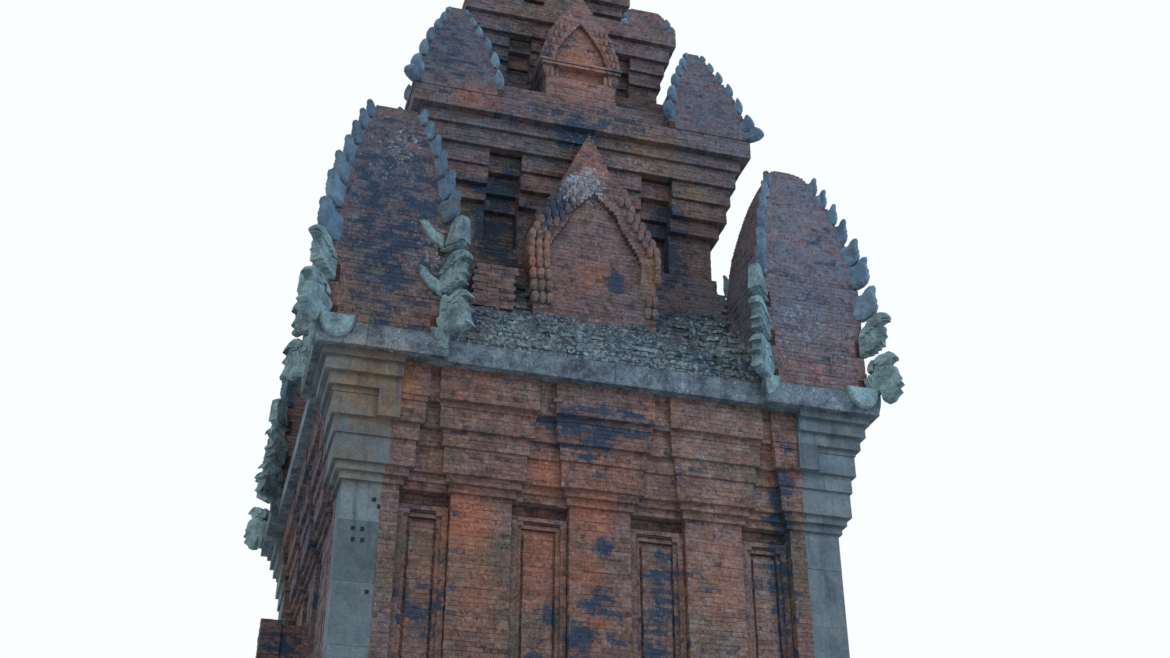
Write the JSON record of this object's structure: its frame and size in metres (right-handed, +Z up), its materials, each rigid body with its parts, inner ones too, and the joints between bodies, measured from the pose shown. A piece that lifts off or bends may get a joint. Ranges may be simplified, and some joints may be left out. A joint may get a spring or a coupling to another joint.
{
  "type": "brick tower temple",
  "caption": "Square hindu temple tower of brick with stone corner piers, stepped false storeys, corner turrets with leaf ridges and gabled niches.",
  "frame": {"origin": "centre of the square plinth on the ground", "axes": "+Z up along the tower, -Y towards the entrance, +X to the right seen from the entrance side"},
  "size_m": [9.4, 10.65, 20.94],
  "materials": {
    "brick": "matt weathered fired brick",
    "dark_brick": "matt dark weathered brick with lichen",
    "stone": "matt weathered sandstone",
    "paving": "matt worn paving"
  },
  "bodies": {
    "root": {"plinth": "stone", "floor": "paving", "entrance_steps": "stone", "front_wall_left": "brick", "front_wall_right": "brick", "front_wall_over_door": "brick", "door_jamb_left": "stone", "door_jamb_right": "stone", "door_lintel": "stone", "back_wall": "brick", "right_wall": "brick", "left_wall": "brick", "corner_pier_front_left": "stone", "corner_pier_front_right": "stone", "corner_pier_back_right": "stone", "corner_pier_back_left": "stone", "false_door_right": "brick", "false_door_back": "brick", "false_door_left": "brick", "main_cornice": "stone", "ledge": "dark_brick", "storey_1_wall": "brick", "turret_1_front_left": "brick", "turret_1_front_right": "brick", "turret_1_back_right": "brick", "turret_1_back_left": "brick", "niche_1_front": "brick", "niche_1_right": "brick", "niche_1_back": "brick", "niche_1_left": "brick", "storey_2_front": "brick", "storey_2_right": "brick", "storey_2_back": "brick", "storey_2_left": "brick", "turret_2_front_left": "brick", "turret_2_front_right": "brick", "turret_2_back_right": "brick", "turret_2_back_left": "brick", "niche_2_front": "brick", "niche_2_right": "brick", "niche_2_back": "brick", "niche_2_left": "brick", "storey_3_wall": "brick", "turret_3_front_left": "brick", "turret_3_front_right": "brick", "turret_3_back_right": "brick", "turret_3_back_left": "brick", "crown": "brick"}
  },
  "joints": []
}
